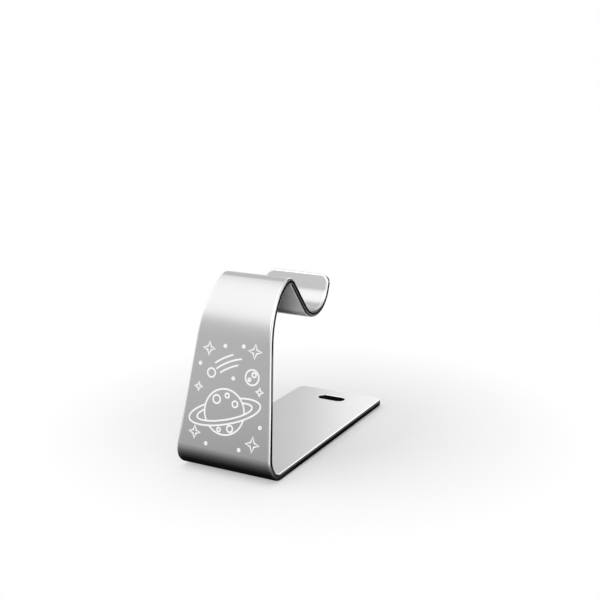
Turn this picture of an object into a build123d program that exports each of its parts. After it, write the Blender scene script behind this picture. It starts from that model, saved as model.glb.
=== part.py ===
from build123d import *
import os

# Game controller stand, folded from one tapered strip of aluminium: a flat base,
# a front that leans back, a tight fold at the top and a hooked cradle behind it.
# Millimetres. X runs across the strip, +Y towards the back and +Z up. The origin
# is the centre of the footprint, on the surface that the stand rests on.

# The strip
strip_thickness = 2.5
base_width = 40.0
top_width = 27.4
edge_radius = 0.8

# The side view, from the back of the base to the tip of the lip. Radii are those
# inside each fold, slopes are degrees from the horizontal, and lengths are those of
# the straight runs.
stand_length = 98.0
front_fold_radius = 5.5
front_slope = 77.8
front_length = 39.4
crown_radius = 29.3
crown_end_slope = 32.3
peak_fold_radius = 3.3
ramp_slope = 50.0
ramp_length = 14.4
cradle_radius = 9.4
lip_slope = 70.0
lip_length = 6.0

# The outline of the blank. The taper starts and ends a short run away from the base
# and from the peak, with a soft corner at each end.
base_corner_radius = 3.5
lip_corner_radius = 3.5
taper_end_run = 1.0
taper_end_radius = 8.0

# The slot through the back of the base
slot_length = 12.0
slot_width = 5.4
slot_from_back = 9.5
slot_edge_radius = 0.3

# The self-adhesive pads under the base
pad_diameter = 8.0
pad_thickness = 0.5
pad_edge_radius = 0.15
pad_from_side = 2.5
pad_from_end = 2.5

# Levels and places that follow
underside = pad_thickness
base_top = underside + strip_thickness
base_back = stand_length / 2
front_fold_outer = front_fold_radius + strip_thickness
front_fold_start = front_fold_outer - stand_length / 2

os.makedirs("parts", exist_ok=True)


def rim(faces):
    """Edges that belong to only one of the faces."""
    edges = faces.edges()
    return ShapeList(edge for edge in edges if edges.count(edge) == 1)


# The strip. Its outer skin is one chain of runs and folds, which starts under the
# back of the base, heads for the front and ends at the lip. The folds that turn
# down carry it on their outside, and the cradle carries it on its inside.
with BuildPart() as folded_strip:
    with BuildSketch(Plane.YZ) as side_view:
        with BuildLine() as outer_skin:
            base_run = Line((base_back, underside), (front_fold_start, underside))
            front_fold = JernArc(base_run @ 1, base_run % 1, front_fold_outer, front_slope - 180)
            front_run = PolarLine(front_fold @ 1, front_length, direction=front_fold % 1)
            crown_outer = crown_radius + strip_thickness
            crown = JernArc(front_run @ 1, front_run % 1, crown_outer, crown_end_slope - front_slope)
            peak_outer = peak_fold_radius + strip_thickness
            peak_fold = JernArc(crown @ 1, crown % 1, peak_outer, -ramp_slope - crown_end_slope)
            ramp = PolarLine(peak_fold @ 1, ramp_length, direction=peak_fold % 1)
            cradle = JernArc(ramp @ 1, ramp % 1, cradle_radius, ramp_slope + lip_slope)
            lip = PolarLine(cradle @ 1, lip_length, direction=cradle % 1)
            offset(amount=strip_thickness, side=Side.RIGHT)
        make_face()
    extrude(amount=base_width / 2, both=True)

    # Where the outer skin is level, at the peak and in the cradle
    level_at_peak = crown_end_slope / (crown_end_slope + ramp_slope)
    level_in_cradle = ramp_slope / (ramp_slope + lip_slope)
    summit = Plane.YZ.from_local_coords(peak_fold @ level_at_peak)
    valley = Plane.YZ.from_local_coords(cradle @ level_in_cradle)

    # The front narrows evenly up to the peak's inner skin. From there on the sides
    # are straight, over the peak and down to the lip.
    top_side = top_width / 2
    peak_inner = summit.Z - strip_thickness
    trim_top = summit.Z + strip_thickness
    trim_bottom = (base_top + valley.Z) / 2
    with BuildSketch(Plane.XZ.offset(-summit.Y)) as front_trim:
        with BuildLine():
            taper = FilletPolyline(
                (base_width / 2, base_top),
                (base_width / 2, base_top + taper_end_run),
                (top_side, peak_inner - taper_end_run),
                (top_side, trim_top),
                radius=taper_end_radius,
            )
            Polyline(taper @ 1, (base_width, trim_top), (base_width, base_top), taper @ 0)
        make_face()
        mirror(about=Plane.YZ)
    extrude(amount=stand_length, mode=Mode.SUBTRACT)
    with BuildSketch(Plane.XZ.offset(-summit.Y)) as back_trim:
        for side in (-1, 1):
            with Locations((side * top_side, trim_bottom)):
                corner = (Align.MIN if side > 0 else Align.MAX, Align.MIN)
                Rectangle(base_width, trim_top - trim_bottom, align=corner)
    extrude(amount=-stand_length, mode=Mode.SUBTRACT)

    # The corners at both ends of the strip
    base_corners = folded_strip.edges().filter_by(Axis.Z).group_by(Axis.Y)[-1]
    fillet(base_corners, base_corner_radius)
    across_lip = (lip % 1).rotate(Axis.Z, -90) * strip_thickness
    lip_middle = Plane.YZ.from_local_coords(lip @ 1 + across_lip / 2)
    lip_end = folded_strip.faces().sort_by_distance(lip_middle)[0]
    lip_corners = lip_end.edges().group_by(SortBy.LENGTH)[0]
    fillet(lip_corners, lip_corner_radius)

    # The edges of both skins are rounded, all the way round. A skin is a face that spans
    # the strip, other than the two cut ends.
    base_middle = (0, base_back, underside + strip_thickness / 2)
    cut_ends = [folded_strip.faces().sort_by_distance(end)[0] for end in (base_middle, lip_middle)]
    skins = folded_strip.faces().filter_by(lambda face: face.bounding_box().size.X > top_side)
    skins = skins.filter_by(lambda face: face not in cut_ends)
    fillet(rim(skins), edge_radius)

    # The slot
    with BuildSketch(Plane.XY.offset(base_top)) as slot_outline:
        with Locations((0, base_back - slot_from_back)):
            SlotOverall(slot_length, slot_width)
    extrude(amount=-strip_thickness, mode=Mode.SUBTRACT)
    slot_edges = folded_strip.edges(Select.LAST).group_by(Axis.Z)
    fillet(slot_edges[0] + slot_edges[-1], slot_edge_radius)
folded_strip.part.label = "folded_strip"
export_step(folded_strip.part, "parts/folded_strip.step")

# The pads, one near each corner of the base, clear of the front fold
pad_side = base_width / 2 - pad_from_side - pad_diameter / 2
pad_front = front_fold_start + pad_from_end + pad_diameter / 2
pad_back = base_back - pad_from_end - pad_diameter / 2
pad_places = {
    "foot_pad_front_left": (-pad_side, pad_front),
    "foot_pad_front_right": (pad_side, pad_front),
    "foot_pad_back_left": (-pad_side, pad_back),
    "foot_pad_back_right": (pad_side, pad_back),
}
for name, place in pad_places.items():
    with BuildPart() as pad:
        with BuildSketch() as disc:
            with Locations(place):
                Circle(pad_diameter / 2)
        extrude(amount=pad_thickness)
        fillet(pad.edges().group_by(Axis.Z)[0], pad_edge_radius)
    pad.part.label = name
    export_step(pad.part, f"parts/{name}.step")
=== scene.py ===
"""The looks of a desk stand for a game controller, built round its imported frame.

The stand is one strip of sheet aluminium, folded four times and narrower at the top.
It is modelled as it is made: a sheet is led round its folds, trimmed, thickened,
rounded along its edges, pierced by its slot and engraved. Rubber pads are under its
base.
"""

import logging
import math
from collections.abc import Callable
from dataclasses import dataclass, field
from enum import Enum, IntEnum

import bpy
from mathutils import Matrix, Vector


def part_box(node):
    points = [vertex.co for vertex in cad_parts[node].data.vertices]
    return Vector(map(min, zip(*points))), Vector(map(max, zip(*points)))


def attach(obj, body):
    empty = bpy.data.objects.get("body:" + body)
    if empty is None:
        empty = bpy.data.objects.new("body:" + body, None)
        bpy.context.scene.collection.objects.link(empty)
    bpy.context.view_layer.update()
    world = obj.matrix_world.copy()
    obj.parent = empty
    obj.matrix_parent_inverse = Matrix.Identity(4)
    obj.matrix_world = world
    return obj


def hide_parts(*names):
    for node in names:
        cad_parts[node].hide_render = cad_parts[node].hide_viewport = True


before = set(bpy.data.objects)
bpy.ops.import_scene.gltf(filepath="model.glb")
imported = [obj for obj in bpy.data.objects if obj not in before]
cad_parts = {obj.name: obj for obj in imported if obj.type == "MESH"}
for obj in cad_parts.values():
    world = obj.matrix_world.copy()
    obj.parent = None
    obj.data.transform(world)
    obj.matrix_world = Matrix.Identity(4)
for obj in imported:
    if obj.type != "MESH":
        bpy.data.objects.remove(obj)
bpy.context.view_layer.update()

MM = 0.001
# Places that are nearer to each other than this are the same place.
SAME_PLACE = 0.01 * MM
# How many decimals of a height in metres tell two rows of vertices apart.
ROW_DECIMALS = 7
# A Mix node has the same names for each kind of data, so its sockets go by number.
MIX_SHARE, MIX_FIRST_COLOUR, MIX_SECOND_COLOUR, MIXED_COLOUR = 0, 6, 7, 2
log = logging.getLogger("stand")


# Nodes


def linear(colour: str) -> tuple[float, float, float, float]:
    """Turns an sRGB hex colour into linear red, green, blue and alpha.

    Args:
        colour: six hex digits after a hash sign, such as "#c8cacb".

    Returns:
        The linear colour, with an alpha of 1.
    """
    shares = [int(colour[i : i + 2], 16) / 255 for i in (1, 3, 5)]
    red, green, blue = (s / 12.92 if s <= 0.04045 else ((s + 0.055) / 1.055) ** 2.4 for s in shares)
    return red, green, blue, 1.0


def add_node(
    tree: bpy.types.NodeTree, kind: str, inputs: dict | None = None, **settings
) -> bpy.types.Node:
    """Adds a node with its settings and links.

    Args:
        tree: the node tree that the node goes into.
        kind: the node's type, such as "ShaderNodeTexNoise".
        inputs: what goes into each input, by the input's name or number: a value,
            or the output socket that is linked to it.
        settings: a value for each of the node's properties.

    Returns:
        The new node.
    """
    new = tree.nodes.new(kind)
    for name, value in settings.items():
        setattr(new, name, value)
    for name, value in (inputs or {}).items():
        if isinstance(value, bpy.types.NodeSocket):
            tree.links.new(value, new.inputs[name])
        else:
            new.inputs[name].default_value = value
    return new


def empty_material(name: str) -> bpy.types.Material:
    """Makes a material that has no nodes yet.

    Args:
        name: what the finish is.

    Returns:
        The material.
    """
    material = bpy.data.materials.new(name)
    material.use_nodes = True
    material.node_tree.nodes.clear()
    return material


def seen_directly(tree: bpy.types.NodeTree) -> bpy.types.NodeSocket:
    """Adds what is 1 for a ray from the camera, a reflection or a transmission, else 0.

    A reflection that lights a matt surface doesn't count.

    Args:
        tree: the node tree that it goes into.

    Returns:
        The output that holds it.
    """
    path = add_node(tree, "ShaderNodeLightPath").outputs
    seen = path["Is Camera Ray"]
    for kind in ("Is Glossy Ray", "Is Transmission Ray"):
        either = {0: seen, 1: path[kind]}
        seen = add_node(tree, "ShaderNodeMath", either, operation="MAXIMUM").outputs["Value"]
    half_a_bounce = 0.5
    unscattered = {0: path["Diffuse Depth"], 1: half_a_bounce}
    direct = add_node(tree, "ShaderNodeMath", unscattered, operation="LESS_THAN").outputs["Value"]
    both = {0: seen, 1: direct}
    return add_node(tree, "ShaderNodeMath", both, operation="MULTIPLY").outputs["Value"]


# The stand's finishes


@dataclass(frozen=True)
class Metal:
    """A finish of bare or anodised aluminium. Lengths are in metres.

    Attributes:
        name: what the finish is.
        colour: its usual colour.
        second_colour: the colour that faint clouds of it lean to.
        roughness: how far it spreads a reflection.
        roughness_spread: how much the roughness varies, up and down.
        grain: the size of the marks that its making left.
        grain_depth: how deep the marks are.
        grain_detail: how many finer layers of marks are on them.
        cloud: the size of the clouds of colour.
    """

    name: str
    colour: str
    second_colour: str
    roughness: float
    roughness_spread: float
    grain: float
    grain_depth: float
    grain_detail: float = 3.0
    cloud: float = 14 * MM

    def make(self) -> bpy.types.Material:
        """Makes the material.

        Returns:
            The material.
        """
        material = empty_material(self.name)
        tree = material.node_tree
        place = add_node(tree, "ShaderNodeTexCoord").outputs["Object"]
        cloud_size = {"Vector": place, "Scale": 1 / self.cloud}
        cloud = add_node(tree, "ShaderNodeTexNoise", cloud_size).outputs["Fac"]
        colours = {
            MIX_SHARE: cloud,
            MIX_FIRST_COLOUR: linear(self.colour),
            MIX_SECOND_COLOUR: linear(self.second_colour),
        }
        tone = add_node(tree, "ShaderNodeMix", colours, data_type="RGBA").outputs[MIXED_COLOUR]
        grain_size = {"Vector": place, "Scale": 1 / self.grain, "Detail": self.grain_detail}
        grain = add_node(tree, "ShaderNodeTexNoise", grain_size).outputs["Fac"]
        spread = {
            "Value": grain,
            "To Min": self.roughness - self.roughness_spread,
            "To Max": self.roughness + self.roughness_spread,
        }
        roughness = add_node(tree, "ShaderNodeMapRange", spread).outputs["Result"]
        marks = {"Height": grain, "Strength": 1.0, "Distance": self.grain_depth}
        normal = add_node(tree, "ShaderNodeBump", marks).outputs["Normal"]
        surface = {"Base Color": tone, "Metallic": 1.0, "Roughness": roughness, "Normal": normal}
        shader = add_node(tree, "ShaderNodeBsdfPrincipled", surface).outputs["BSDF"]
        add_node(tree, "ShaderNodeOutputMaterial", {"Surface": shader})
        return material


# Fine glass beads leave shallow dimples with no direction, so the skins reflect softly
# and evenly. The dimples are finer than a pixel, and are drawn about twice as coarse.
BLASTED_ANODISED_ALUMINIUM = Metal(
    name="blasted_anodised_aluminium",
    colour="#cccccc",
    second_colour="#c7c7c8",
    roughness=0.30,
    roughness_spread=0.04,
    grain=0.2 * MM,
    grain_depth=0.002 * MM,
)
# The edges are rounded and buffed before they are anodised, so they shine more than the
# skins and draw a bright line where they face a lamp.
BUFFED_ANODISED_EDGE = Metal(
    name="buffed_anodised_edge",
    colour="#eeeeee",
    second_colour="#e8e8e9",
    roughness=0.12,
    roughness_spread=0.02,
    grain=0.15 * MM,
    grain_depth=0.0005 * MM,
)


@dataclass(frozen=True)
class Matt:
    """A finish with no metal in its look. Lengths are in metres.

    Attributes:
        name: what the finish is.
        colour: its usual colour.
        second_colour: the colour that its grain leans to.
        roughness: how far it spreads a reflection.
        grain: the size of its grain.
        grain_depth: how deep the grain is.
        grain_detail: how many finer layers the grain has.
    """

    name: str
    colour: str
    second_colour: str
    roughness: float
    grain: float
    grain_depth: float
    grain_detail: float = 4.0

    def make(self) -> bpy.types.Material:
        """Makes the material.

        Returns:
            The material.
        """
        material = empty_material(self.name)
        tree = material.node_tree
        place = add_node(tree, "ShaderNodeTexCoord").outputs["Object"]
        grain_size = {"Vector": place, "Scale": 1 / self.grain, "Detail": self.grain_detail}
        grain = add_node(tree, "ShaderNodeTexNoise", grain_size).outputs["Fac"]
        colours = {
            MIX_SHARE: grain,
            MIX_FIRST_COLOUR: linear(self.colour),
            MIX_SECOND_COLOUR: linear(self.second_colour),
        }
        tone = add_node(tree, "ShaderNodeMix", colours, data_type="RGBA").outputs[MIXED_COLOUR]
        marks = {"Height": grain, "Strength": 1.0, "Distance": self.grain_depth}
        normal = add_node(tree, "ShaderNodeBump", marks).outputs["Normal"]
        surface = {"Base Color": tone, "Roughness": self.roughness, "Normal": normal}
        shader = add_node(tree, "ShaderNodeBsdfPrincipled", surface).outputs["BSDF"]
        add_node(tree, "ShaderNodeOutputMaterial", {"Surface": shader})
        return material


# The laser burns through the anodic film and leaves a white, chalky groove.
LASER_ENGRAVED = Matt(
    name="laser_engraved_aluminium",
    colour="#fbfbfa",
    second_colour="#f1f1f0",
    roughness=0.7,
    grain=0.1 * MM,
    grain_depth=0.004 * MM,
)
# Cellular rubber sheet, punched out: black, matt and finely pored.
PUNCHED_RUBBER = Matt(
    name="punched_cellular_rubber",
    colour="#1b1b1c",
    second_colour="#232324",
    roughness=0.85,
    grain=0.3 * MM,
    grain_depth=0.02 * MM,
)


# The stage's finishes


@dataclass(frozen=True)
class FloorPaint:
    """Pale matt paint that turns white away from the stand, where it is seen directly.

    Attributes:
        name: what the paint is.
        colour: its colour.
        roughness: how far it spreads a reflection.
        gloss: how much it reflects, where 0.5 is usual.
        centre: the middle of the painted part, in metres.
        fade_start: how far from there it starts to turn white, in metres.
        fade_end: how far from there it is all white, in metres.
        least_fade: how white it is at the centre, where 1 is all white.
    """

    name: str = "painted_floor"
    colour: str = "#e5e5e5"
    roughness: float = 0.9
    gloss: float = 0.2
    centre: tuple[float, float, float] = (0.0, 20 * MM, 0.0)
    fade_start: float = 40 * MM
    fade_end: float = 110 * MM
    least_fade: float = 0.06

    def make(self) -> bpy.types.Material:
        """Makes the material.

        Returns:
            The material.
        """
        material = empty_material(self.name)
        tree = material.node_tree
        ends = {0: add_node(tree, "ShaderNodeTexCoord").outputs["Object"], 1: self.centre}
        distance = add_node(tree, "ShaderNodeVectorMath", ends, operation="DISTANCE")
        fade = {
            "Value": distance.outputs["Value"],
            "From Min": self.fade_start,
            "From Max": self.fade_end,
            "To Min": self.least_fade,
        }
        faded = add_node(tree, "ShaderNodeMapRange", fade).outputs["Result"]
        shares = {0: faded, 1: seen_directly(tree)}
        share = add_node(tree, "ShaderNodeMath", shares, operation="MULTIPLY").outputs["Value"]
        paint = {
            "Base Color": linear(self.colour),
            "Roughness": self.roughness,
            "Specular IOR Level": self.gloss,
        }
        painted = add_node(tree, "ShaderNodeBsdfPrincipled", paint).outputs["BSDF"]
        white = add_node(tree, "ShaderNodeEmission", {"Strength": 1.0}).outputs["Emission"]
        layers = {0: share, 1: painted, 2: white}
        mixed = add_node(tree, "ShaderNodeMixShader", layers).outputs["Shader"]
        add_node(tree, "ShaderNodeOutputMaterial", {"Surface": mixed})
        return material


@dataclass(frozen=True)
class ReflectionShadePaper:
    """Black paper that only reflections show, thinned out in front of the stand: painted dark
    reflections, standing in for the shade on the floor under and around the stand.

    Attributes:
        name: what the paper is.
        cover: how much of the floor it hides, from 0 to 1.
        colour: its black.
        thinning_start: the place along Y at which the thin part starts, in metres.
        thinning_full: the place along Y from which on it is thin, in metres.
        thinning_width: how far from the base the thin part is thinnest, in metres.
        thinned_by: how much less of the floor it hides there.
    """

    name: str
    cover: float
    colour: str = "#101010"
    thinning_start: float = -25 * MM
    thinning_full: float = -45 * MM
    thinning_width: float = 26 * MM
    thinned_by: float = 0.4

    def make(self) -> bpy.types.Material:
        """Makes the material.

        Returns:
            The material.
        """
        material = empty_material(self.name)
        tree = material.node_tree
        place = add_node(tree, "ShaderNodeTexCoord").outputs["Object"]
        shares = {0: self.cover_at(tree, place), 1: seen_directly(tree)}
        share = add_node(tree, "ShaderNodeMath", shares, operation="MULTIPLY").outputs["Value"]
        clear = add_node(tree, "ShaderNodeBsdfTransparent").outputs["BSDF"]
        ink = {"Color": linear(self.colour)}
        black = add_node(tree, "ShaderNodeBsdfDiffuse", ink).outputs["BSDF"]
        layers = {0: share, 1: clear, 2: black}
        mixed = add_node(tree, "ShaderNodeMixShader", layers).outputs["Shader"]
        add_node(tree, "ShaderNodeOutputMaterial", {"Surface": mixed})
        return material

    def cover_at(
        self, tree: bpy.types.NodeTree, place: bpy.types.NodeSocket
    ) -> bpy.types.NodeSocket:
        """Adds how much of the floor the paper hides at a place.

        Args:
            tree: the node tree that it goes into.
            place: the output that holds the place.

        Returns:
            The output that holds the share, from 0 to 1.
        """
        depth = add_node(tree, "ShaderNodeSeparateXYZ", {"Vector": place}).outputs["Y"]
        front = {
            "Value": depth,
            "From Min": self.thinning_start,
            "From Max": self.thinning_full,
        }
        in_front = add_node(tree, "ShaderNodeMapRange", front).outputs["Result"]
        mirrored = add_node(tree, "ShaderNodeVectorMath", {0: place}, operation="ABSOLUTE")
        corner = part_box("folded_strip")[1]
        past = {0: mirrored.outputs["Vector"], 1: corner}
        beyond = add_node(tree, "ShaderNodeVectorMath", past, operation="SUBTRACT")
        outside = {0: beyond.outputs["Vector"], 1: (0, 0, 0)}
        clipped = add_node(tree, "ShaderNodeVectorMath", outside, operation="MAXIMUM")
        gap = {0: clipped.outputs["Vector"]}
        from_base = add_node(tree, "ShaderNodeVectorMath", gap, operation="LENGTH")
        away = {
            "Value": from_base.outputs["Value"],
            "From Max": self.thinning_width,
            "To Max": self.thinned_by,
        }
        far_off = add_node(tree, "ShaderNodeMapRange", away).outputs["Result"]
        both = {0: in_front, 1: far_off}
        thinned = add_node(tree, "ShaderNodeMath", both, operation="MULTIPLY").outputs["Value"]
        rest = {0: self.cover, 1: thinned}
        return add_node(tree, "ShaderNodeMath", rest, operation="SUBTRACT").outputs["Value"]


# Painted black reflection: matt black paper sends hardly any light back, so what mirrors it looks
# black, as shade would.
BLACK_REFLECTION_SHADE = ReflectionShadePaper(name="painted_black_reflection", cover=1.0)
# Painted dark grey reflection: the thin paper lets some of the pale floor through, so what mirrors
# it looks dark grey.
GREY_REFLECTION_SHADE = ReflectionShadePaper(name="painted_dark_grey_reflection", cover=0.84)


# Selecting and modelling


def deselect_all() -> None:
    """Leaves edit mode and deselects every object."""
    if bpy.context.object and bpy.context.object.mode != "OBJECT":
        bpy.ops.object.mode_set(mode="OBJECT")
    bpy.ops.object.select_all(action="DESELECT")


def make_active(piece: bpy.types.Object) -> None:
    """Makes a piece the only selected object, and the active one.

    Args:
        piece: the object.
    """
    deselect_all()
    piece.select_set(True)
    bpy.context.view_layer.objects.active = piece


def select_vertices(piece: bpy.types.Object, chosen: Callable[[Vector], bool]) -> None:
    """Enters edit mode with the vertices selected whose place passes a test.

    Args:
        piece: the mesh object, which becomes the active one.
        chosen: says of a vertex's place whether it is selected.
    """
    make_active(piece)
    mesh = piece.data
    mesh.polygons.foreach_set("select", [False] * len(mesh.polygons))
    mesh.edges.foreach_set("select", [False] * len(mesh.edges))
    mesh.vertices.foreach_set("select", [chosen(vertex.co) for vertex in mesh.vertices])
    bpy.ops.object.mode_set(mode="EDIT")
    bpy.ops.mesh.select_mode(type="VERT")


def select_face(piece: bpy.types.Object, place: Vector) -> None:
    """Enters edit mode with the face selected whose middle is nearest to a place.

    Args:
        piece: the mesh object, which becomes the active one.
        place: where the face's middle is, or nearly is.
    """
    make_active(piece)
    mesh = piece.data
    nearest = min(mesh.polygons, key=lambda face: (face.center - place).length).index
    mesh.vertices.foreach_set("select", [False] * len(mesh.vertices))
    mesh.edges.foreach_set("select", [False] * len(mesh.edges))
    mesh.polygons.foreach_set("select", [face.index == nearest for face in mesh.polygons])
    bpy.context.tool_settings.mesh_select_mode = (False, False, True)
    bpy.ops.object.mode_set(mode="EDIT")


def apply_modifier(piece: bpy.types.Object, kind: str, **settings) -> None:
    """Adds a modifier with its settings and applies it.

    Args:
        piece: the object that is changed.
        kind: the modifier's type, such as "SOLIDIFY".
        settings: a value for each of the modifier's properties.
    """
    make_active(piece)
    modifier = piece.modifiers.new(kind.lower(), kind)
    for name, value in settings.items():
        setattr(modifier, name, value)
    bpy.ops.object.modifier_apply(modifier=modifier.name)


def settle(piece: bpy.types.Object) -> None:
    """Moves a piece's place, turn and scale into its mesh."""
    make_active(piece)
    bpy.ops.object.transform_apply(location=True, rotation=True, scale=True)


# The engraving


@dataclass(frozen=True)
class Mark:
    """A round mark of the drawing, or a star in it. Its lengths are in millimetres.

    Attributes:
        x: its centre's place across the strip.
        y: its centre's place up the front.
        radius: how far it reaches from its centre.
    """

    x: float
    y: float
    radius: float

    @property
    def centre(self) -> Vector:
        """Its centre."""
        return Vector((self.x, self.y))


@dataclass(frozen=True)
class Streak:
    """A curved line behind the comet.

    Attributes:
        radius: of its curve, in millimetres.
        start: its end that is nearer to the comet's head, in radians from the head.
        end: its other end, in radians from the head.
    """

    radius: float
    start: float
    end: float


@dataclass
class LineArt:
    """A line drawing that is cut into the front: a ringed planet, its moon, a comet and stars.

    It is drawn flat, as the tool's paths, and the paths are then given the tool's section.
    Sizes and places are in millimetres, with x across the strip and y up the front from
    the first fold.

    Attributes:
        line_width: of the lines.
        depth: of the lines.
        planet: the planet's outline.
        craters: the marks on it, with their places from its centre.
        ring_turn: how far the ring is turned anticlockwise, in degrees.
        ring_edges: half the length and half the height of its outer and its inner edge.
        moon: the moon's outline and the craters on it.
        comet: the comet's head.
        streak_centre: the place that the comet's streaks are curved round.
        streaks: the comet's streaks.
        stars: the stars with four points.
        star_waist: how far out their inner corners are, as a share of their points.
        dots: the places of the far stars.
        dot_radius: of the far stars.
        paths: what has been drawn so far.
    """

    line_width: float = 0.62
    depth: float = 0.06
    planet: Mark = Mark(-0.8, 14.2, 8.2)
    craters: tuple[Mark, ...] = (
        Mark(-3.6, 4.1, 1.5),
        Mark(0.6, 6.0, 0.8),
        Mark(4.1, 3.4, 1.1),
        Mark(2.9, -5.6, 1.2),
        Mark(-1.6, -6.6, 0.7),
    )
    ring_turn: float = 17.0
    ring_edges: tuple[tuple[float, float], ...] = ((15.0, 4.4), (11.6, 2.8))
    moon: tuple[Mark, ...] = (Mark(9.2, 28.0, 2.7), Mark(9.9, 29.0, 0.8), Mark(8.2, 27.1, 0.5))
    comet: Mark = Mark(-7.6, 27.4, 1.6)
    streak_centre: tuple[float, float] = (9.4, 10.4)
    streaks: tuple[Streak, ...] = (
        Streak(22.0, 0.13, 0.50),
        Streak(24.0, 0.09, 0.58),
        Streak(26.0, 0.13, 0.46),
    )
    stars: tuple[Mark, ...] = (
        Mark(-9.4, 36.0, 2.5),
        Mark(9.4, 37.2, 2.7),
        Mark(12.7, 23.3, 1.6),
        Mark(-12.4, 21.8, 1.7),
        Mark(-12.4, 5.2, 2.4),
        Mark(11.8, 4.6, 2.8),
    )
    star_waist: float = 0.36
    dots: tuple[tuple[float, float], ...] = (
        (-2.9, 37.6),
        (4.6, 38.4),
        (-12.6, 30.2),
        (1.6, 26.6),
        (6.6, 1.8),
        (-7.2, 1.8),
        (14.2, 11.0),
    )
    dot_radius: float = 0.45
    paths: list[bpy.types.Object] = field(default_factory=list)

    def build(self) -> bpy.types.Object:
        """Draws all the paths and makes them one cutter.

        Returns:
            The cutter, flat on the XY plane.
        """
        self.draw_planet()
        for mark in self.moon:
            self.loop(mark)
        self.draw_comet()
        for mark in self.stars:
            self.draw_star(mark)
        for x, y in self.dots:
            self.loop(Mark(x, y, self.dot_radius), points=16)
        return self.make_cutter()

    def loop(self, mark: Mark, points: int = 48) -> bpy.types.Object:
        """Draws a closed round path.

        Args:
            mark: its centre and its radius.
            points: how many points it has.

        Returns:
            The path.
        """
        deselect_all()
        bpy.ops.mesh.primitive_circle_add(
            vertices=points,
            radius=mark.radius * MM,
            location=(mark.x * MM, mark.y * MM, 0),
        )
        path = bpy.context.object
        settle(path)
        self.paths.append(path)
        return path

    def erase(self, path: bpy.types.Object, hidden: Callable[[Vector], bool]) -> None:
        """Deletes the points of a path that aren't seen.

        Args:
            path: the path.
            hidden: says of a point's place, in millimetres, whether it goes.
        """
        select_vertices(path, lambda place: hidden(place / MM))
        bpy.ops.mesh.delete(type="VERT")
        bpy.ops.object.mode_set(mode="OBJECT")

    def on_ring(self, place: Vector) -> Vector:
        """Says how far along and across the ring a place is, from the planet's centre."""
        turn_back = Matrix.Rotation(math.radians(-self.ring_turn), 2)
        return turn_back @ (place.xy - self.planet.centre)

    def behind_planet(self, place: Vector) -> bool:
        """Whether the planet hides a place on the ring."""
        turned = self.on_ring(place)
        return turned.y >= 0 and turned.length < self.planet.radius

    def behind_ring(self, place: Vector) -> bool:
        """Whether the ring hides a place on the planet.

        Args:
            place: a place on the planet.

        Returns:
            Whether it is between the two edges of the ring's nearer half.
        """
        turned = self.on_ring(place)
        outer, inner = (
            math.hypot(turned.x / half_length, turned.y / half_height)
            for half_length, half_height in self.ring_edges
        )
        return turned.y < 0 and outer < 1 < inner

    def draw_planet(self) -> None:
        """Draws the planet, its ring and its craters, less what one hides of the other."""
        x, y = self.planet.x, self.planet.y
        globe = self.loop(self.planet, points=180)
        for half_length, half_height in self.ring_edges:
            ring = self.loop(Mark(0, 0, 1), points=180)
            ring.scale = (half_length, half_height, 1)
            ring.rotation_euler.z = math.radians(self.ring_turn)
            ring.location = (x * MM, y * MM, 0)
            settle(ring)
            self.erase(ring, self.behind_planet)
        self.erase(globe, self.behind_ring)
        for crater in self.craters:
            self.loop(Mark(x + crater.x, y + crater.y, crater.radius), points=32)

    def past_comet(self, place: Vector) -> float:
        """Says how far round the streaks' centre a place is from the comet's head.

        Args:
            place: a place on a streak.

        Returns:
            The angle in radians, clockwise.
        """
        centre = Vector(self.streak_centre)
        head = self.comet.centre - centre
        spot = place.xy - centre
        return math.atan2(head.y, head.x) - math.atan2(spot.y, spot.x)

    def draw_comet(self) -> None:
        """Draws the comet: a round head and three curved streaks behind it."""
        self.loop(self.comet)
        for streak in self.streaks:
            path = self.loop(Mark(*self.streak_centre, streak.radius), points=240)
            self.erase(
                path,
                lambda place: not streak.start < self.past_comet(place) < streak.end,
            )

    def draw_star(self, mark: Mark) -> None:
        """Draws a star with four long points, by drawing in every other corner.

        Args:
            mark: its centre, and how far its points reach.
        """
        path = self.loop(mark, points=8)
        centre = Vector((mark.x, mark.y, 0)) * MM
        select_vertices(
            path,
            lambda place: min(abs(place.x - centre.x), abs(place.y - centre.y)) > SAME_PLACE,
        )
        waist = self.star_waist
        bpy.ops.transform.resize(value=(waist, waist, 1), center_override=centre)
        bpy.ops.object.mode_set(mode="OBJECT")

    def make_cutter(self) -> bpy.types.Object:
        """Gives the paths the section of the tool, a shallow round one.

        Returns:
            All the paths as one closed mesh.
        """
        deselect_all()
        for path in self.paths:
            path.select_set(True)
        bpy.context.view_layer.objects.active = self.paths[0]
        bpy.ops.object.join()
        bpy.ops.object.convert(target="CURVE")
        cutter = bpy.context.object
        cutter.data.dimensions = "3D"
        cutter.data.bevel_depth = self.line_width * MM / 2
        cutter.data.bevel_resolution = 2
        cutter.data.use_fill_caps = True
        bpy.ops.object.convert(target="MESH")
        cutter = bpy.context.object
        cutter.name = "engraving_tool"
        cutter.scale.z = self.depth / (self.line_width / 2)
        settle(cutter)
        return cutter


# The strip


class Bend(Enum):
    """Which way a fold turns the strip, seen from its right side."""

    CLOCKWISE = -1
    ANTICLOCKWISE = 1


class Finish(IntEnum):
    """The strip's finishes, in the order of its material slots."""

    SKIN = 0
    EDGE = 1
    ENGRAVED = 2


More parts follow.
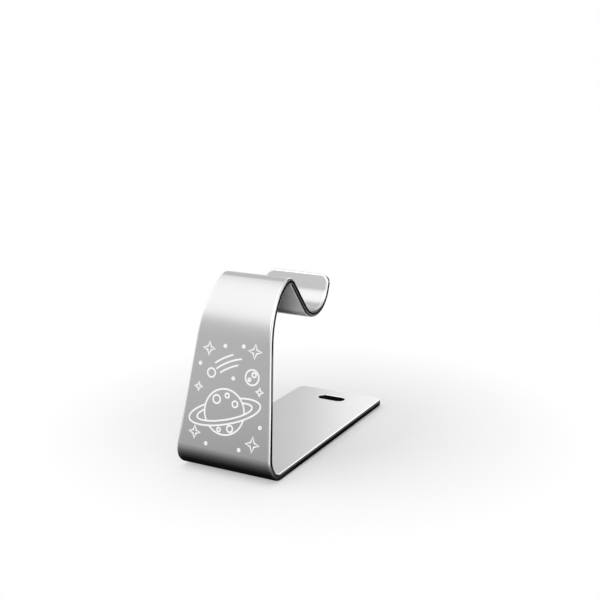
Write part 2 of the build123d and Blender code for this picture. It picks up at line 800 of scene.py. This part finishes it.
@dataclass
class FoldedStrip:
    """The folded strip. Its sizes are in metres and degrees, as on the real stand.

    Radii are those inside each fold, slopes are from the horizontal, and lengths are
    those of the straight runs. The values that building fills in come last: the object,
    the end of the sheet as it is led round its folds, its heading there, both ends of
    the front's run and the highest place of the outer skin.
    """

    thickness: float = 2.5 * MM
    top_width: float = 27.4 * MM
    edge_radius: float = 0.8 * MM
    taper_end_run: float = 1.0 * MM
    front_fold_radius: float = 5.5 * MM
    front_slope: float = 77.8
    front_length: float = 39.4 * MM
    crown_radius: float = 29.3 * MM
    crown_end_slope: float = 32.3
    peak_fold_radius: float = 3.3 * MM
    ramp_slope: float = 50.0
    ramp_length: float = 14.4 * MM
    cradle_radius: float = 9.4 * MM
    lip_slope: float = 70.0
    lip_length: float = 6 * MM
    corner_radius: float = 3.5 * MM
    slot_length: float = 12 * MM
    slot_width: float = 5.4 * MM
    slot_from_back: float = 9.5 * MM
    slot_edge_radius: float = 0.3 * MM
    engraving_border: float = 0.5 * MM
    degrees_per_step: float = 2.0
    sharp_angle: float = 60.0
    smooth_angle: float = 30.0
    corner_segments: int = 12
    edge_segments: int = 6
    slot_edge_segments: int = 3
    slot_points: int = 96
    piece: bpy.types.Object = field(init=False)
    place: Vector = field(init=False)
    heading: float = field(init=False)
    front_start: Vector = field(init=False)
    front_end: Vector = field(init=False)
    summit: Vector = field(init=False)

    def build(self) -> bpy.types.Object:
        """Models the strip from its first sheet to its engraving.

        Returns:
            The finished object.
        """
        self.lay_base()
        self.fold_up()
        self.narrow()
        self.round_corners()
        self.thicken()
        self.cut_slot()
        self.engrave()
        self.shade()
        return self.piece

    def lay_base(self) -> None:
        """Lays the flat of the base, as its underside, from the back to the front fold."""
        low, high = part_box("folded_strip")
        fold_start = low.y + self.front_fold_radius + self.thickness
        deselect_all()
        bpy.ops.mesh.primitive_plane_add(size=1)
        self.piece = bpy.context.object
        self.piece.name = "stand_strip"
        for finish in (BLASTED_ANODISED_ALUMINIUM, BUFFED_ANODISED_EDGE, LASER_ENGRAVED):
            self.piece.data.materials.append(finish.make())
        self.piece.scale = (high.x - low.x, high.y - fold_start, 1)
        self.piece.location = (0, (high.y + fold_start) / 2, low.z)
        settle(self.piece)
        self.place = Vector((0, fold_start, low.z))
        self.heading = 180.0
        select_vertices(self.piece, lambda place: place.y < fold_start + SAME_PLACE)

    def run(self, length: float) -> None:
        """Leads the sheet straight on from its selected end.

        Args:
            length: how far it goes.
        """
        angle = math.radians(self.heading)
        ahead = Vector((0, math.cos(angle), math.sin(angle))) * length
        bpy.ops.mesh.extrude_region_move(TRANSFORM_OT_translate={"value": ahead})
        self.place += ahead

    def fold(self, radius: float, turn: float, bend: Bend) -> Vector:
        """Leads the sheet round a fold from its selected end.

        Args:
            radius: of the skin that the sheet stands for.
            turn: how far it turns, in degrees.
            bend: which way it turns.

        Returns:
            The fold's centre.
        """
        side = math.radians(self.heading + 90 * bend.value)
        centre = self.place + Vector((0, math.cos(side), math.sin(side))) * radius
        angle = math.radians(turn) * bend.value
        steps = round(turn / self.degrees_per_step)
        bpy.ops.mesh.spin(steps=steps, angle=angle, center=centre, axis=(-1, 0, 0))
        self.place = centre + Matrix.Rotation(angle, 3, "X") @ (self.place - centre)
        self.heading += turn * bend.value
        return centre

    def fold_up(self) -> None:
        """Folds the front, the crown, the peak, the ramp, the cradle and the lip."""
        front_radius = self.front_fold_radius + self.thickness
        crown_radius = self.crown_radius + self.thickness
        peak_radius = self.peak_fold_radius + self.thickness
        self.fold(front_radius, 180 - self.front_slope, Bend.CLOCKWISE)
        self.front_start = self.place.copy()
        self.run(self.front_length)
        self.front_end = self.place.copy()
        self.fold(crown_radius, self.front_slope - self.crown_end_slope, Bend.CLOCKWISE)
        peak = self.fold(peak_radius, self.crown_end_slope + self.ramp_slope, Bend.CLOCKWISE)
        self.summit = peak + Vector((0, 0, peak_radius))
        self.run(self.ramp_length)
        self.fold(self.cradle_radius, self.ramp_slope + self.lip_slope, Bend.ANTICLOCKWISE)
        self.run(self.lip_length)
        bpy.ops.object.mode_set(mode="OBJECT")

    def narrow(self) -> None:
        """Narrows the sheet evenly up the front. From the peak on it keeps its top width."""
        low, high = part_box("folded_strip")
        top_share = self.top_width / (high.x - low.x)
        start = low.z + self.thickness + self.taper_end_run
        end = self.summit.z - self.thickness - self.taper_end_run
        front = [v.co.z for v in self.piece.data.vertices if v.co.y < self.summit.y]
        for height in sorted({round(z, ROW_DECIMALS) for z in front if start < z < end}):
            share = 1 - (height - start) / (end - start) * (1 - top_share)
            self.narrow_where(
                lambda place: place.y < self.summit.y and abs(place.z - height) < SAME_PLACE,
                share,
            )
        self.narrow_where(
            lambda place: place.z > start and (place.y >= self.summit.y or place.z >= end),
            top_share,
        )

    def narrow_where(self, chosen: Callable[[Vector], bool], share: float) -> None:
        """Narrows the part of the sheet whose vertices pass a test.

        Args:
            chosen: says of a vertex's place whether it is moved.
            share: how much of the width is left, from 0 to 1.
        """
        select_vertices(self.piece, chosen)
        bpy.ops.transform.resize(value=(share, 1, 1), center_override=(0, 0, 0))

    def round_corners(self) -> None:
        """Rounds the two corners at each end of the sheet."""
        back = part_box("folded_strip")[1].y
        lip = self.place
        for at_end in (
            lambda place: place.y > back - SAME_PLACE,
            lambda place: (place.yz - lip.yz).length < SAME_PLACE,
        ):
            select_vertices(self.piece, at_end)
            bpy.ops.mesh.bevel(
                offset=self.corner_radius,
                segments=self.corner_segments,
                profile=0.5,
                affect="VERTICES",
            )

    def thicken(self) -> None:
        """Gives the sheet its thickness, upwards from the underside, and rounds its edges."""
        make_active(self.piece)
        bpy.ops.object.mode_set(mode="EDIT")
        bpy.ops.mesh.select_all(action="SELECT")
        bpy.ops.mesh.normals_make_consistent(inside=False)
        bpy.ops.object.mode_set(mode="OBJECT")
        base = max(self.piece.data.polygons, key=lambda face: face.area)
        apply_modifier(
            self.piece,
            "SOLIDIFY",
            thickness=self.thickness,
            offset=math.copysign(1, base.normal.z),
            use_even_offset=True,
            material_offset_rim=Finish.EDGE,
        )
        self.round_edges(self.edge_radius, self.edge_segments)

    def round_edges(self, radius: float, segments: int) -> None:
        """Rounds every sharp edge.

        Args:
            radius: of the rounding.
            segments: how many faces go round it.
        """
        apply_modifier(
            self.piece,
            "BEVEL",
            width=radius,
            segments=segments,
            limit_method="ANGLE",
            angle_limit=math.radians(self.sharp_angle),
            material=Finish.EDGE,
        )

    def cut_slot(self) -> None:
        """Cuts the round-ended slot through the base and rounds its edges."""
        low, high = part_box("folded_strip")
        deselect_all()
        # It is turned by half a side, so that no point lies where its halves part.
        bpy.ops.mesh.primitive_cylinder_add(
            vertices=self.slot_points,
            radius=self.slot_width / 2,
            depth=self.thickness * 3,
            rotation=(0, 0, math.pi / self.slot_points),
        )
        cutter = bpy.context.object
        settle(cutter)
        reach = (self.slot_length - self.slot_width) / 2
        for side in (-1, 1):
            select_vertices(cutter, lambda place: place.x * side > 0)
            bpy.ops.transform.translate(value=(side * reach, 0, 0))
        deselect_all()
        cutter.location = (0, high.y - self.slot_from_back, low.z + self.thickness / 2)
        settle(cutter)
        self.subtract(cutter, Finish.EDGE)
        self.round_edges(self.slot_edge_radius, self.slot_edge_segments)

    def subtract(self, cutter: bpy.types.Object, finish: Finish) -> None:
        """Cuts a shape out of the strip and gives the cut its finish.

        Args:
            cutter: the shape, which is removed afterwards.
            finish: of the faces that it leaves.
        """
        faces = cutter.data.polygons
        for _ in Finish:
            cutter.data.materials.append(None)
        faces.foreach_set("material_index", [int(finish)] * len(faces))
        apply_modifier(
            self.piece,
            "BOOLEAN",
            object=cutter,
            operation="DIFFERENCE",
            solver="EXACT",
            material_mode="INDEX",
            use_self=True,
        )
        bpy.data.objects.remove(cutter)

    def engrave(self) -> None:
        """Cuts the line art into the flat of the front, clear of its borders."""
        select_face(self.piece, (self.front_start + self.front_end) / 2)
        bpy.ops.mesh.inset(thickness=self.engraving_border)
        bpy.ops.object.mode_set(mode="OBJECT")
        cutter = LineArt().build()
        cutter.rotation_euler.x = math.radians(self.front_slope)
        cutter.location = self.front_start
        settle(cutter)
        self.subtract(cutter, Finish.ENGRAVED)

    def shade(self) -> None:
        """Shades the folds and the rounded edges smooth, and the flats flat."""
        make_active(self.piece)
        bpy.ops.object.shade_smooth_by_angle(angle=math.radians(self.smooth_angle))
        apply_modifier(self.piece, "WEIGHTED_NORMAL", keep_sharp=True, weight=100)


# The pads


@dataclass
class FootPads:
    """The four pads under the base, from model.glb, which keep their shape and get their rubber."""

    start_of_name: str = "foot_pad"

    def dress(self) -> None:
        """Gives each pad its rubber and logs it."""
        rubber = PUNCHED_RUBBER.make()
        for name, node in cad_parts.items():
            if name.startswith(self.start_of_name):
                node.data.materials.clear()
                node.data.materials.append(rubber)
                describe(node)


# The stage


def bearing(azimuth: float, elevation: float) -> Vector:
    """Works out which way a direction points.

    Args:
        azimuth: in degrees from +Y towards +X.
        elevation: in degrees above the floor.

    Returns:
        A vector of length 1.
    """
    turn, rise = math.radians(azimuth), math.radians(elevation)
    east, north = math.sin(turn) * math.cos(rise), math.cos(turn) * math.cos(rise)
    return Vector((east, north, math.sin(rise)))


@dataclass(frozen=True)
class DarkWall:
    """A darker part of what reflections show around the stand.

    Attributes:
        azimuth: where its middle is, in degrees from +Y towards +X.
        elevation: of its middle above the floor, in degrees.
        near: how far it is fully dark from its middle, in degrees.
        far: where it has faded into the bright walls, in degrees.
        level: how bright it looks, where 1 is white.
    """

    azimuth: float
    elevation: float
    near: float
    far: float
    level: float


@dataclass(frozen=True)
class Softbox:
    """A soft rectangular lamp that faces the stand.

    Attributes:
        name: what the lamp is.
        azimuth: where it stands, in degrees from +Y towards +X.
        elevation: its height above the floor, in degrees.
        distance: from the stand's middle, in metres.
        width: in metres.
        height: in metres.
        level: how bright it looks, where 1 is white.
    """

    name: str
    azimuth: float
    elevation: float
    distance: float
    width: float
    height: float
    level: float

    def add(self) -> None:
        """Adds the lamp."""
        ahead = bearing(self.azimuth, self.elevation)
        bpy.ops.object.light_add(type="AREA", location=ahead * self.distance)
        lamp = bpy.context.object
        lamp.name = self.name
        lamp.rotation_euler = ahead.to_track_quat("Z", "Y").to_euler()
        lamp.data.shape = "RECTANGLE"
        lamp.data.size = self.width
        lamp.data.size_y = self.height
        lamp.data.energy = self.level * math.pi * self.width * self.height
        lamp.visible_camera = False


@dataclass(frozen=True)
class ReflectionShadeCard:
    """A black sheet on the floor that only reflections show: a painted dark reflection, in place of
    shade.

    Attributes:
        name: which sheet it is.
        paper: what it is cut from.
        left: its left edge's place along X, in millimetres.
        front: its front edge's place along Y, in millimetres.
        right: its right edge's place along X, in millimetres.
        back: its back edge's place along Y, in millimetres.
        height: above the floor, in millimetres.
    """

    name: str
    paper: ReflectionShadePaper
    left: float
    front: float
    right: float
    back: float
    height: float = 0.1

    def lay(self, material: bpy.types.Material) -> None:
        """Lays the sheet.

        Args:
            material: its paper's.
        """
        bpy.ops.mesh.primitive_plane_add(size=MM)
        shade_card = bpy.context.object
        shade_card.name = self.name
        shade_card.scale = (self.right - self.left, self.back - self.front, 1)
        middle = Vector((self.left + self.right, self.front + self.back, 0)) / 2
        shade_card.location = (middle + Vector((0, 0, self.height))) * MM
        settle(shade_card)
        shade_card.data.materials.append(material)
        # Painted dark reflection: hidden from the camera, from lit matt surfaces and from shadows,
        # so it only darkens what mirrors it.
        shade_card.visible_camera = False
        shade_card.visible_diffuse = False
        shade_card.visible_shadow = False


@dataclass
class Studio:
    """A plain pale floor, soft lamps, a white background and the camera.

    The camera's place, yaw and pitch are worked out from the stand's own edges. The lamps
    are high in front to the left, behind, and to the right. Black sheets that only
    reflections show paint the stand's rim, underside and front fold dark, in place of shade:
    they lie in front of it, under it, behind its right side in two steps, and far behind it.
    """

    camera_place: tuple[float, float, float] = (180.30 * MM, -330.56 * MM, 147.71 * MM)
    camera_yaw: float = 27.874
    camera_pitch: float = 13.808
    focal_length_mm: float = 60.13
    sensor_mm: float = 36.0
    nearest_seen: float = 10 * MM
    floor_size: float = 6.0
    # Painted dark reflections, in place of the shade that the stand's rims, underside and front
    # fold would mirror.
    reflection_shades: tuple[ReflectionShadeCard, ...] = (
        ReflectionShadeCard("front_reflection_shade", BLACK_REFLECTION_SHADE, left=-250, front=-400, right=60, back=-45),
        ReflectionShadeCard("under_reflection_shade", BLACK_REFLECTION_SHADE, left=-70, front=-45, right=150, back=52),
        ReflectionShadeCard("right_reflection_shade", GREY_REFLECTION_SHADE, left=15, front=52, right=150, back=160),
        ReflectionShadeCard("side_reflection_shade", BLACK_REFLECTION_SHADE, left=150, front=60, right=500, back=160),
        ReflectionShadeCard("far_reflection_shade", BLACK_REFLECTION_SHADE, left=40, front=160, right=500, back=900),
    )
    lamps: tuple[Softbox, ...] = (
        Softbox(
            name="key_softbox",
            azimuth=-145,
            elevation=56,
            distance=1.2,
            width=1.7,
            height=1.1,
            level=0.83,
        ),
        Softbox(
            name="rear_softbox",
            azimuth=-13,
            elevation=24,
            distance=1.2,
            width=0.5,
            height=0.6,
            level=0.86,
        ),
        Softbox(
            name="side_softbox",
            azimuth=100,
            elevation=24,
            distance=0.8,
            width=0.45,
            height=0.8,
            level=0.7,
        ),
    )
    fill_level: float = 0.84
    bright_walls_level: float = 0.8
    dark_walls: tuple[DarkWall, ...] = (
        DarkWall(azimuth=24, elevation=9, near=24, far=40, level=0.12),
        DarkWall(azimuth=183, elevation=0, near=6, far=28, level=0.42),
    )

    def build(self) -> None:
        """Sets the stage up."""
        bpy.context.scene.view_settings.view_transform = "Standard"
        self.add_camera()
        self.add_floor()
        papers = {paper: paper.make() for paper in (BLACK_REFLECTION_SHADE, GREY_REFLECTION_SHADE)}
        for shade_card in self.reflection_shades:
            shade_card.lay(papers[shade_card.paper])
        for lamp in self.lamps:
            lamp.add()
        self.light_world()

    def add_camera(self) -> None:
        """Adds the camera, where the stand's own edges place it."""
        deselect_all()
        bpy.ops.object.camera_add(
            location=self.camera_place,
            rotation=(math.radians(90 - self.camera_pitch), 0, math.radians(self.camera_yaw)),
        )
        camera = bpy.context.object
        camera.data.lens = self.focal_length_mm
        camera.data.sensor_width = self.sensor_mm
        camera.data.clip_start = self.nearest_seen
        bpy.context.scene.camera = camera

    def add_floor(self) -> None:
        """Adds the floor, a plain pale plane that fades into the white background."""
        bpy.ops.mesh.primitive_plane_add(size=self.floor_size)
        floor = bpy.context.object
        floor.name = "floor"
        floor.data.materials.append(FloorPaint().make())

    def light_world(self) -> None:
        """Lights from all round, with white behind the stand and walls in its reflections."""
        world = bpy.data.worlds.new("studio")
        bpy.context.scene.world = world
        world.use_nodes = True
        tree = world.node_tree
        tree.nodes.clear()
        in_view = add_node(tree, "ShaderNodeLightPath").outputs["Is Camera Ray"]
        levels = {0: in_view, 1: self.walls_level(tree)}
        level = add_node(tree, "ShaderNodeMath", levels, operation="MAXIMUM").outputs["Value"]
        shown = add_node(tree, "ShaderNodeBackground", {"Color": (1, 1, 1, 1), "Strength": level})
        light = {"Color": (1, 1, 1, 1), "Strength": self.fill_level}
        fill = add_node(tree, "ShaderNodeBackground", light)
        parts = {
            0: seen_directly(tree),
            1: fill.outputs["Background"],
            2: shown.outputs["Background"],
        }
        mixed = add_node(tree, "ShaderNodeMixShader", parts).outputs["Shader"]
        add_node(tree, "ShaderNodeOutputWorld", {"Surface": mixed})

    def walls_level(self, tree: bpy.types.NodeTree) -> bpy.types.NodeSocket:
        """Adds how bright the walls around the stand are in the direction of a ray.

        Args:
            tree: the world's node tree.

        Returns:
            The output that holds it, where 1 is white.
        """
        direction = add_node(tree, "ShaderNodeTexCoord").outputs["Generated"]
        level: float | bpy.types.NodeSocket = self.bright_walls_level
        for wall in self.dark_walls:
            facing = {0: direction, 1: bearing(wall.azimuth, wall.elevation)}
            towards = add_node(tree, "ShaderNodeVectorMath", facing, operation="DOT_PRODUCT")
            fade = {
                "Value": towards.outputs["Value"],
                "From Min": math.cos(math.radians(wall.far)),
                "From Max": math.cos(math.radians(wall.near)),
                "To Min": self.bright_walls_level,
                "To Max": wall.level,
            }
            shade = add_node(tree, "ShaderNodeMapRange", fade, interpolation_type="SMOOTHSTEP")
            either = {0: level, 1: shade.outputs["Result"]}
            level = add_node(tree, "ShaderNodeMath", either, operation="MINIMUM").outputs["Value"]
        return level


# The whole scene


def describe(piece: bpy.types.Object) -> None:
    """Logs a piece's size in millimetres and its count of faces.

    Args:
        piece: the object.
    """
    corners = [piece.matrix_world @ Vector(corner) / MM for corner in piece.bound_box]
    sides = [max(c[i] for c in corners) - min(c[i] for c in corners) for i in range(3)]
    log.info("%s: %.1f x %.1f x %.1f mm, %d faces", piece.name, *sides, len(piece.data.polygons))


def main() -> None:
    """Builds the stage, the strip and the pads' finish."""
    logging.basicConfig(level=logging.INFO, format="%(message)s")
    Studio().build()
    strip = FoldedStrip().build()
    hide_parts("folded_strip")
    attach(strip, "root")
    describe(strip)
    FootPads().dress()


if __name__ == "__main__":
    main()
